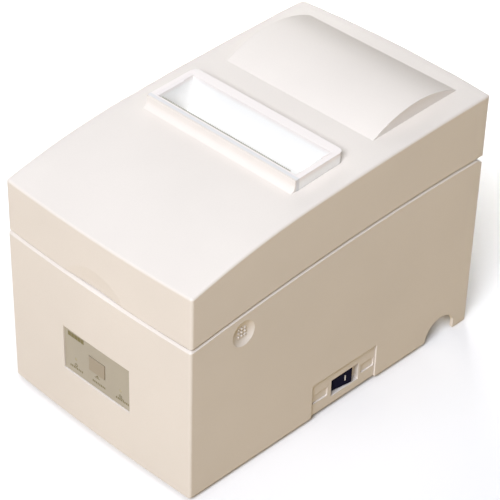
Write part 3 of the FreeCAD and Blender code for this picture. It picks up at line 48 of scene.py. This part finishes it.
class Shader:
    """A node material under construction: short calls that add a node and give back an output."""

    def __init__(self, name):
        self.material = bpy.data.materials.new(name)
        self.material.use_nodes = True
        self.tree = self.material.node_tree
        self.surface = self.tree.nodes["Principled BSDF"]
        self.place = self.node("ShaderNodeTexCoord").outputs["Object"]

    def node(self, kind, **settings):
        """A new node, with its settings made."""
        made = self.tree.nodes.new(kind)
        for key, setting in settings.items():
            setattr(made, key, setting)
        return made

    def link(self, output, target):
        self.tree.links.new(output, target)

    def stretched(self, x, y, z):
        """The object's own coordinates, scaled unevenly."""
        mapping = self.node("ShaderNodeMapping")
        mapping.inputs["Scale"].default_value = (x, y, z)
        self.link(self.place, mapping.inputs["Vector"])
        return mapping.outputs["Vector"]

    def noise(self, scale, detail=2.0, vector=None, rough=0.5):
        """A noise factor, on the object's own coordinates unless a vector is given."""
        made = self.node("ShaderNodeTexNoise")
        made.inputs["Scale"].default_value = scale
        made.inputs["Detail"].default_value = detail
        made.inputs["Roughness"].default_value = rough
        self.link(vector or self.place, made.inputs["Vector"])
        return made.outputs["Fac"]

    def ramp(self, factor, stops):
        """Two colours along a factor; each stop is (position, colour)."""
        made = self.node("ShaderNodeValToRGB")
        for element, (position, colour) in zip(made.color_ramp.elements, stops):
            element.position = position
            element.color = (*colour, 1.0)
        self.link(factor, made.inputs["Fac"])
        return made.outputs["Color"]

    def levels(self, factor, low, high, start=0.3, end=0.7):
        """The factor stretched from start..end to low..high."""
        made = self.node("ShaderNodeMapRange")
        ends = {"From Min": start, "From Max": end, "To Min": low, "To Max": high}
        for key, number in ends.items():
            made.inputs[key].default_value = number
        self.link(factor, made.inputs["Value"])
        return made.outputs["Result"]

    def mix(self, factor, first, second):
        """One colour passing into another along a factor; each is an output or a plain colour."""
        made = self.node("ShaderNodeMix", data_type="RGBA")
        self.link(factor, made.inputs["Factor"])
        for index, source in ((MIX_FIRST, first), (MIX_SECOND, second)):
            socket = made.inputs[index]
            if isinstance(source, tuple):
                socket.default_value = (*source, 1.0)
            else:
                self.link(source, socket)
        return made.outputs[MIX_RESULT]

    def relief(self, height, strength, depth, edge=0.0):
        """Bump from a height, on top of softened edges when edge is a radius in metres."""
        bump = self.node("ShaderNodeBump")
        bump.inputs["Strength"].default_value = strength
        bump.inputs["Distance"].default_value = depth
        self.link(height, bump.inputs["Height"])
        if edge:
            bevel = self.node("ShaderNodeBevel", samples=6)
            bevel.inputs["Radius"].default_value = edge
            self.link(bevel.outputs["Normal"], bump.inputs["Normal"])
        self.link(bump.outputs["Normal"], self.surface.inputs["Normal"])

    def finish(self, colour, roughness, **sockets):
        """Links the colour and roughness, sets any other sockets and gives back the material."""
        self.link(colour, self.surface.inputs["Base Color"])
        self.link(roughness, self.surface.inputs["Roughness"])
        for key, number in sockets.items():
            self.surface.inputs[key.replace("_", " ")].default_value = number
        return self.material


def shade(colour, factor):
    """The same colour, darker or lighter."""
    return tuple(min(1.0, c * factor) for c in colour)


PLASTIC_GRAIN = 1500.0
PLASTIC_EDGE = 0.0004


def grain_specks(shader, fine):
    """How far the pits of a moulded grain darken the plastic."""
    return shader.levels(fine, 0.0, 0.35, start=0.45, end=0.75)


def moulded_plastic(name, colour, rough=0.5, grain=PLASTIC_GRAIN, depth=0.00003, gloss=0.5):
    """Moulded plastic: spark-eroded grain, faint cloudy tone and slightly uneven gloss."""
    s = Shader(name)
    cloud = s.noise(14.0, 3.0)
    fine = s.noise(grain, 2.0, rough=0.6)
    tone = s.ramp(cloud, [(0.3, shade(colour, 0.975)), (0.7, shade(colour, 1.02))])
    final = s.mix(grain_specks(s, fine), tone, shade(colour, 0.94))
    s.relief(fine, 0.35, depth, PLASTIC_EDGE)
    return s.finish(final, s.levels(fine, rough - 0.05, rough + 0.08), Specular_IOR_Level=gloss)


def window_plastic(name, lit_trough_colour, rim, front):
    """The window insert: painted light as a brighter colour in the trough, the plastic's own tone
    on the rim around it and painted shade as a darker colour on the sloping front facet."""
    top_slope = 0.0556                          # rise of the lid's top towards the rear
    rim_start, rim_end = 0.1750, 0.1783         # height above that slope, from trough to rim
    facet_start, facet_end = -0.0262, -0.0254   # y over which the front facet ends
    s = Shader(name)
    height = s.node("ShaderNodeVectorMath", operation="DOT_PRODUCT")
    s.link(s.place, height.inputs[0])
    height.inputs[1].default_value = (0.0, -top_slope, 1.0)
    on_rim = s.levels(height.outputs["Value"], 0.0, 1.0, rim_start, rim_end)
    fine = s.noise(PLASTIC_GRAIN, 2.0, rough=0.6)
    axes = s.node("ShaderNodeSeparateXYZ")
    s.link(s.place, axes.inputs["Vector"])
    facet_shade_mask = s.levels(axes.outputs["Y"], 1.0, 0.0, facet_start, facet_end)
    # Painted light and shade: the trough takes a brighter colour and the front facet a darker one
    # than the rim's plastic.
    tone = s.mix(facet_shade_mask, s.mix(on_rim, lit_trough_colour, rim), front)
    final = s.mix(grain_specks(s, fine), tone, shade(rim, 0.97))
    s.relief(fine, 0.3, 0.00003, PLASTIC_EDGE)
    return s.finish(final, s.levels(fine, 0.42, 0.55), Specular_IOR_Level=0.4)


def machined_metal(name, colour, rough=0.3, along="x", metal=1.0):
    """Metal with fine lines along one axis and a slightly uneven polish."""
    s = Shader(name)
    stretch = {"x": (12, 900, 900), "z": (900, 900, 12)}[along]
    lines = s.noise(1.0, 3.0, s.stretched(*stretch))
    patch = s.noise(30.0, 2.0)
    tone = s.mix(s.levels(lines, 0.0, 1.0), shade(colour, 0.88), shade(colour, 1.06))
    stained = s.mix(s.levels(patch, 0.0, 0.25), tone, shade(colour, 0.8))
    s.relief(lines, 0.2, 0.00002, 0.0003)
    return s.finish(stained, s.levels(lines, rough - 0.06, rough + 0.1), Metallic=metal)


def zinc_plate(name, colour):
    """Zinc-plated sheet: dull spangle with a faint yellow cast in places."""
    s = Shader(name)
    cells = s.node("ShaderNodeTexVoronoi")
    cells.inputs["Scale"].default_value = 160.0
    s.link(s.place, cells.inputs["Vector"])
    grey = s.node("ShaderNodeRGBToBW")
    s.link(cells.outputs["Color"], grey.inputs["Color"])
    tone = s.ramp(grey.outputs["Val"], [(0.2, shade(colour, 0.86)), (0.8, shade(colour, 1.05))])
    cast = s.mix(s.levels(s.noise(25.0), 0.0, 0.3), tone, (0.58, 0.55, 0.44))
    s.relief(s.noise(700.0), 0.15, 0.00003, 0.0003)
    return s.finish(cast, s.levels(grey.outputs["Val"], 0.32, 0.46), Metallic=0.9)


def circuit_board(name):
    """Solder mask with copper tracks showing through and pale pads."""
    s = Shader(name)
    brick = s.node("ShaderNodeTexBrick")
    tracks = {"Scale": 110.0, "Mortar Size": 0.035, "Color1": (0.015, 0.10, 0.045, 1),
              "Color2": (0.02, 0.13, 0.06, 1), "Mortar": (0.06, 0.26, 0.12, 1)}
    for key, setting in tracks.items():
        brick.inputs[key].default_value = setting
    s.link(s.place, brick.inputs["Vector"])
    dots = s.node("ShaderNodeTexVoronoi", feature="F1")
    dots.inputs["Scale"].default_value = 230.0
    dots.inputs["Randomness"].default_value = 0.55
    s.link(s.place, dots.inputs["Vector"])
    pad = s.levels(dots.outputs["Distance"], 1.0, 0.0, start=0.16, end=0.2)
    final = s.mix(pad, brick.outputs["Color"], (0.62, 0.60, 0.52))
    s.relief(brick.outputs["Fac"], 0.2, 0.00004)
    return s.finish(final, s.levels(dots.outputs["Distance"], 0.3, 0.42))


def soft_rubber(name, colour):
    """Rubber with a dusty bloom and a matt ground surface."""
    s = Shader(name)
    bloom = s.noise(60.0, 4.0)
    grain = s.noise(2200.0, 2.0)
    tone = s.ramp(bloom, [(0.35, colour), (0.75, shade(colour, 1.7))])
    s.relief(grain, 0.4, 0.00004, 0.0003)
    return s.finish(tone, s.levels(grain, 0.67, 0.85))


def inked_fabric(name):
    """Woven nylon ribbon soaked with ink."""
    s = Shader(name)
    weave = s.node("ShaderNodeTexWave", wave_type="BANDS", bands_direction="DIAGONAL")
    weave.inputs["Scale"].default_value = 900.0
    s.link(s.place, weave.inputs["Vector"])
    tone = s.ramp(weave.outputs["Fac"], [(0.2, (0.012, 0.008, 0.03)), (0.8, (0.04, 0.028, 0.075))])
    s.relief(weave.outputs["Fac"], 0.5, 0.00005)
    return s.finish(tone, s.levels(s.noise(300.0), 0.45, 0.7))


def panel_sheet(name, colour):
    """Printed polycarbonate sheet: a fine satin surface with a slight drift in tone across it."""
    s = Shader(name)
    drift = s.noise(40.0, 2.0)
    fine = s.noise(2600.0, 2.0)
    tone = s.ramp(drift, [(0.35, shade(colour, 0.97)), (0.65, shade(colour, 1.03))])
    final = s.mix(s.levels(fine, 0.0, 0.2), tone, shade(colour, 0.85))
    s.relief(fine, 0.3, 0.00002, 0.0002)
    return s.finish(final, s.levels(drift, 0.30, 0.38))


def floor_paint(name, colour):
    """A pale matt studio floor with a very faint mottle."""
    s = Shader(name)
    tone = s.ramp(s.noise(3.0, 4.0), [(0.3, shade(colour, 0.985)), (0.7, colour)])
    return s.finish(tone, s.levels(s.noise(40.0), 0.8, 0.9), Specular_IOR_Level=0.1)


materials = {
    "case": moulded_plastic("case_plastic", (0.80, 0.745, 0.685), rough=0.46, gloss=0.4),
    # The insert's first colour is painted light in its trough, the second its rim plastic, the
    # third painted shade on its front facet.
    "insert": window_plastic("insert_plastic", (0.97, 0.96, 0.93), (0.90, 0.84, 0.80),
                             (0.76, 0.75, 0.74)),
    "label": panel_sheet("panel_sheet", (0.43, 0.385, 0.295)),
    "button": moulded_plastic("button_plastic", (0.37, 0.31, 0.225), rough=0.45, grain=2200.0),
    "lens": moulded_plastic("lens_plastic", (0.50, 0.44, 0.30), rough=0.2, depth=0.00001),
    "rocker": moulded_plastic("rocker_plastic", (0.003, 0.003, 0.018), rough=0.6, depth=0.00001,
                              gloss=0.05),
    "black": moulded_plastic("black_plastic", (0.018, 0.018, 0.02), rough=0.5),
    "white": moulded_plastic("acetal", (0.66, 0.65, 0.58), rough=0.4),
    "knob": moulded_plastic("knob_plastic", (0.10, 0.14, 0.19), rough=0.45),
    "cassette": moulded_plastic("cassette_plastic", (0.030, 0.030, 0.034), rough=0.4),
    "bay": moulded_plastic("bay_plastic", (0.11, 0.11, 0.112), rough=0.55, grain=1100.0),
    "steel": machined_metal("ground_steel", (0.52, 0.52, 0.53), rough=0.25),
    "cutter": machined_metal("cutter_steel", (0.62, 0.60, 0.50), rough=0.42, metal=0.4),
    "zinc": zinc_plate("zinc_plate", (0.55, 0.56, 0.57)),
    "aluminium": machined_metal("anodised_aluminium", (0.50, 0.51, 0.52), rough=0.4, along="z"),
    "brass": machined_metal("brass", (0.60, 0.43, 0.16), rough=0.3, along="z"),
    "rubber": soft_rubber("black_rubber", (0.018, 0.018, 0.018)),
    "board": circuit_board("circuit_board"),
    "ribbon": inked_fabric("ink_ribbon_fabric"),
    "mark": moulded_plastic("switch_mark_paint", (0.80, 0.80, 0.78), rough=0.5, depth=0.00001),
    "print": moulded_plastic("panel_print_ink", (0.19, 0.155, 0.05), rough=0.5, depth=0.00001),
}
FINISHES = {
    "case": ["lower_case", "top_cover", "switch_plate"],
    "insert": ["window_insert"],
    "label": ["panel_label"],
    "button": ["feed_button"],
    "lens": ["indicator_lenses"],
    "rocker": ["power_rocker"],
    "black": ["power_switch_body", "power_inlet", "drawer_jack", "paper_guide", "carriage",
              "print_head", "near_end_lever"],
    "white": ["feed_bushes", "drive_pulley", "idler_pulley", "reduction_gear", "feed_gear"],
    "knob": ["ribbon_knob"],
    "cassette": ["ribbon_cassette", "cassette_lid"],
    "bay": ["paper_tub"],
    "steel": ["hinge_pins", "case_screws", "m3_screws", "mechanism_screws", "main_guide_shaft",
              "front_guide_shaft", "pressure_pivot_shaft", "feed_shaft", "idler_axle",
              "reduction_stud", "pressure_springs"],
    "cutter": ["tear_bar"],
    "zinc": ["floor_plate", "connector_plate", "interface_connector", "mech_posts", "mech_base",
             "left_side_frame", "right_side_frame", "platen_bar", "carriage_motor", "feed_motor",
             "pressure_arm"],
    "aluminium": ["heat_sink"],
    "brass": ["board_standoffs", "carriage_bushes", "motor_pinion"],
    "rubber": ["rubber_feet", "mech_grommets", "carriage_belt", "feed_roller", "pressure_roller"],
    "board": ["panel_board", "main_board", "near_end_bracket"],
    "ribbon": ["ink_ribbon"],
}
for finish, members in FINISHES.items():
    for member in members:
        mesh = nodes[member].data
        mesh.materials.clear()
        mesh.materials.append(materials[finish])


# ---------------------------------------------------------------- extra pieces

def mesh_piece(name, build, material, body):
    """A new mesh piece that rides on a CAD body."""
    bm = bmesh.new()
    build(bm)
    bmesh.ops.recalc_face_normals(bm, faces=bm.faces)
    mesh = bpy.data.meshes.new(name)
    bm.to_mesh(mesh)
    bm.free()
    mesh.materials.append(material)
    piece = bpy.data.objects.new(name, mesh)
    scene.collection.objects.link(piece)
    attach(piece, body)


def raised(bm, face):
    """Gives a flat face thickness; the new side's vertices are handed back to be moved."""
    made = bmesh.ops.extrude_face_region(bm, geom=[face])
    return [g for g in made["geom"] if isinstance(g, bmesh.types.BMVert)]


def switch_mark(bm):
    """The plain "I" stroke printed on the rocker's rear half."""
    axis_from_side, axis_from_rear = 6.6 * MM, 8.2 * MM
    # In mm: the rear half's face, seen from above and measured from the tilt axis, then the stroke
    # and where it lies along that face.
    face_start, face_end = Vector((5.2, -1.2)), Vector((6.6, 7.6))
    half_width, half_length = 0.45, 2.1
    along_face, lift, thick = 3.6, 0.03, 0.04
    low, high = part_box("power_rocker")
    pivot = Vector((high[0] - axis_from_side, high[1] - axis_from_rear, (low[2] + high[2]) / 2))
    along = (face_end - face_start).normalized()
    out = Vector((along.y, -along.x))
    centre = face_start + along * along_face
    for across, upright in ((-1, -1), (1, -1), (1, 1), (-1, 1)):
        flat = centre + along * (across * half_width) + out * lift
        bm.verts.new(pivot + Vector((flat.x, flat.y, upright * half_length)) / 1000)
    for vertex in raised(bm, bm.faces.new(bm.verts)):
        vertex.co += Vector((out.x, out.y, 0)) * (thick * MM)


mesh_piece("rocker_mark", switch_mark, materials["mark"], "power_rocker")


PRINT_THICK = 0.05 * MM
# Rows of blank blocks on the label, in mm: how far the row starts from the label's left edge and
# drops from its top edge, how many blocks it has, and their width, height and pitch.
PRINT_ROWS = (
    (4.5, 28.4, 8, 0.85, 1.5, 1.5),
    (24.9, 28.4, 8, 0.85, 1.5, 1.5),
    (46.0, 28.4, 8, 0.85, 1.5, 1.5),
    (3.2, 5.0, 5, 2.65, 3.2, 2.9),
)


def flat_shape(bm, corners, front):
    """A thin raised print on the front panel, from corners (x, z) in metres."""
    face = bm.faces.new([bm.verts.new((x, front, z)) for x, z in corners])
    for vertex in raised(bm, face):
        vertex.co.y -= PRINT_THICK


def bar(bm, left, right, foot, top, front):
    """A printed rectangle."""
    flat_shape(bm, [(left, foot), (right, foot), (right, top), (left, top)], front)


def ring(bm, x, z, radius, width, front, start=0.0, turn=360.0, steps=20):
    """A printed ring, or part of one, made of short quads."""
    angles = [math.radians(start + turn * i / steps) for i in range(steps + 1)]
    for a, b in zip(angles, angles[1:]):
        corners = [(x + r * math.sin(t), z + r * math.cos(t))
                   for t, r in ((a, radius - width), (b, radius - width), (b, radius), (a, radius))]
        flat_shape(bm, corners, front)


def power_sign(bm, x, z, front):
    """A broken ring with a stroke through its gap."""
    radius, width, stroke = 1.35 * MM, 0.4 * MM, 1.7 * MM
    ring(bm, x, z, radius, width, front, start=35, turn=290)
    bar(bm, x - width / 2, x + width / 2, z, z + stroke, front)


def feed_sign(bm, x, z, front):
    """An arrow head over a line."""
    half_line, thick = 2.2 * MM, 0.4 * MM
    half_head, head_foot, head_tip = 1.3 * MM, 0.9 * MM, 2.4 * MM
    bar(bm, x - half_line, x + half_line, z, z + thick, front)
    flat_shape(bm, [(x - half_head, z + head_foot), (x + half_head, z + head_foot),
                    (x, z + head_tip)], front)


def roll_sign(bm, x, z, front):
    """A paper roll from its end, with the paper running off below."""
    radius, width = 1.35 * MM, 0.35 * MM
    core_radius, core_width = 0.6 * MM, 0.3 * MM
    tail_start, tail_end, tail_top = 0.2 * MM, 2.9 * MM, 0.95 * MM
    ring(bm, x, z, radius, width, front)
    ring(bm, x, z, core_radius, core_width, front, steps=12)
    bar(bm, x + tail_start, x + tail_end, z - radius, z - tail_top, front)


def panel_print(bm):
    """Plain pictograms: power under the left lamp, paper feed under the button, a paper roll under
    the right lamp. Rows of blank blocks stand where a printed panel has its words."""
    lamp_flange = 2.0 * MM                          # radius of a lamp's flange
    sign_drop, arrow_drop = 2.6 * MM, 3.2 * MM      # below the lamps, below the button
    low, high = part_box("panel_label")
    front = low[1]
    for start, drop, blocks, wide, tall, pitch in PRINT_ROWS:
        for i in range(blocks):
            left = low[0] + (start + i * pitch) * MM
            foot = high[2] - drop * MM
            bar(bm, left, left + wide * MM, foot, foot + tall * MM, front)
    lens_low, lens_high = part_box("indicator_lenses")
    button_low, button_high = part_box("feed_button")
    below = lens_low[2] - sign_drop
    power_sign(bm, lens_low[0] + lamp_flange, below, front)
    feed_sign(bm, (button_low[0] + button_high[0]) / 2, button_low[2] - arrow_drop, front)
    roll_sign(bm, lens_high[0] - lamp_flange, below, front)


mesh_piece("panel_pictograms", panel_print, materials["print"], "case")


# ---------------------------------------------------------------- floor, light and camera

def add_floor():
    """A pale floor. Diffuse rays pass it by, so the world's glow lights the object from below."""
    mesh = bpy.data.meshes.new("studio_floor")
    reach = 6.0
    corners = [(-reach, -reach, 0), (reach, -reach, 0), (reach, reach, 0), (-reach, reach, 0)]
    mesh.from_pydata(corners, [], [(0, 1, 2, 3)])
    mesh.materials.append(floor_paint("floor_paint", (0.98, 0.975, 0.965)))
    floor = bpy.data.objects.new("studio_floor", mesh)
    floor.visible_diffuse = False
    scene.collection.objects.link(floor)


def add_light(name, place, target, size, watts, colour=(1, 1, 1), spread=180):
    """A square area lamp aimed at a point; the spread is in degrees."""
    light = bpy.data.lights.new(name, "AREA")
    light.shape = "SQUARE"
    light.size = size
    light.energy = watts
    light.color = colour
    light.spread = math.radians(spread)
    lamp = bpy.data.objects.new(name, light)
    lamp.location = place
    aim = Vector(target) - Vector(place)
    lamp.rotation_euler = aim.to_track_quat("-Z", "Y").to_euler()
    scene.collection.objects.link(lamp)


def add_world(above, below, backdrop):
    """Even light from the room above and a warm glow from below the horizon. Past the floor's edge
    the camera sees a plain backdrop."""
    world = bpy.data.worlds.new("studio")
    scene.world = world
    world.use_nodes = True
    tree = world.node_tree
    direction = tree.nodes.new("ShaderNodeTexCoord")
    split = tree.nodes.new("ShaderNodeSeparateXYZ")
    tree.links.new(direction.outputs["Generated"], split.inputs[0])
    blend = tree.nodes.new("ShaderNodeMapRange")
    horizon_blur = 0.1
    blend.inputs["From Min"].default_value = -horizon_blur
    blend.inputs["From Max"].default_value = horizon_blur
    tree.links.new(split.outputs["Z"], blend.inputs["Value"])
    mix = tree.nodes.new("ShaderNodeMix")
    mix.data_type = "RGBA"
    mix.inputs[MIX_FIRST].default_value = (*below, 1)
    mix.inputs[MIX_SECOND].default_value = (*above, 1)
    tree.links.new(blend.outputs["Result"], mix.inputs["Factor"])
    path = tree.nodes.new("ShaderNodeLightPath")
    seen = tree.nodes.new("ShaderNodeMix")
    seen.data_type = "RGBA"
    tree.links.new(path.outputs["Is Camera Ray"], seen.inputs["Factor"])
    tree.links.new(mix.outputs[MIX_RESULT], seen.inputs[MIX_FIRST])
    seen.inputs[MIX_SECOND].default_value = (*backdrop, 1)
    tree.links.new(seen.outputs[MIX_RESULT], tree.nodes["Background"].inputs["Color"])


def add_camera():
    """A long lens, from the front right and above."""
    camera = bpy.data.cameras.new("camera")
    camera.sensor_width = 36.0
    camera.lens = 143.1
    camera.clip_start = 0.05
    holder = bpy.data.objects.new("camera", camera)
    right = Vector((0.70618, 0.70764, 0.02350))
    up = Vector((-0.43701, 0.40952, 0.80082))
    place = (0.69730, -0.72061, 0.82751)
    turn = Matrix((right, up, right.cross(up))).transposed().to_4x4()
    holder.matrix_world = Matrix.Translation(place) @ turn
    scene.collection.objects.link(holder)
    scene.camera = holder


add_floor()
middle = (0.0, 0.0, 0.09)
add_light("key", (0.87, -2.03, 1.98), middle, size=1.2, watts=85, colour=(0.94, 0.975, 1.07))
add_light("top", (-0.25, -0.1, 3.5), middle, size=2.0, watts=27, colour=(1.0, 0.985, 0.93))
add_light("back_fill", (-1.8, 1.3, 0.9), middle, size=1.2, watts=13, colour=(1.0, 0.985, 0.95))
add_light("floor_wash", (-0.9, 0.9, 1.2), (-0.42, 0.47, 0.0), size=0.4, watts=3.0, spread=32)
add_world(above=(0.15, 0.15, 0.16), below=(0.57, 0.39, 0.12), backdrop=(0.80, 0.80, 0.80))
add_camera()
scene.view_settings.view_transform = "Standard"
